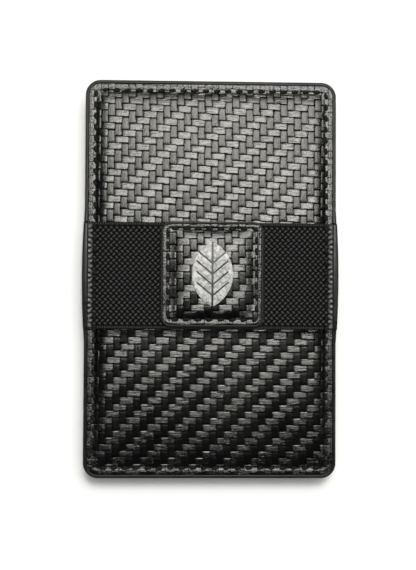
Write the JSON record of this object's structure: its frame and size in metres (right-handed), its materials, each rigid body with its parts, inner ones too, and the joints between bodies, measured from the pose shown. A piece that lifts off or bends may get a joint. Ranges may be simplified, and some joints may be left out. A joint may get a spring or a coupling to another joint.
{
  "type": "minimalist wallet",
  "caption": "Slim upright card wallet: padded twill-embossed front, notched back, open top, elastic side gussets and a front cash band carrying a padded leaf badge.",
  "frame": {"origin": "middle of the outline on the back face, which the wallet lies on", "axes": "+X across the face, +Y towards the pocket mouth, +Z out of the front face"},
  "size_m": [0.0652, 0.101, 0.0128],
  "materials": {
    "leather": "black, twill-embossed, semi-gloss",
    "divider_leather": "plain black, matt",
    "board": "grey-brown fibreboard",
    "foil": "dull foil",
    "lining": "black woven nylon",
    "foam": "dark foam",
    "edge_paint": "smooth black edge paint",
    "thread": "waxed black thread",
    "elastic": "black woven elastic",
    "emblem_metal": "silver, lightly mottled"
  },
  "bodies": {
    "back": {"back_leather": "leather", "back_board": "board", "back_shield": "foil", "back_lining": "lining", "back_edge_coat": "edge_paint", "back_stitching": "thread", "gusset_left": "elastic", "gusset_right": "elastic", "gusset_bottom": "elastic"},
    "front": {"card_divider": "divider_leather", "divider_edge_coat": "edge_paint", "divider_welt_left": "divider_leather", "divider_welt_right": "divider_leather", "divider_welt_bottom": "divider_leather", "front_lining": "lining", "front_shield": "foil", "front_board": "board", "front_pad": "foam", "front_leather": "leather", "front_edge_coat": "edge_paint", "front_stitching": "thread", "elastic_band": "elastic"},
    "badge": {"badge_backer": "divider_leather", "badge_base": "divider_leather", "badge_pad": "foam", "badge_leather": "leather", "badge_edge_coat": "edge_paint", "badge_stitching": "thread", "badge_emblem": "emblem_metal"}
  },
  "joints": [
    {"name": "pocket_stretch", "type": "slide", "parent": "back", "child": "front", "axis": [0, 0, 1], "range_m": [0, 0.003], "stiffness_N_per_m": 2000, "deforming": ["gusset_left", "gusset_right", "gusset_bottom"]},
    {"name": "band_lift", "type": "slide", "parent": "front", "child": "badge", "axis": [0, 0, 1], "range_m": [0, 0.008], "stiffness_N_per_m": 400, "deforming": ["elastic_band"]}
  ]
}
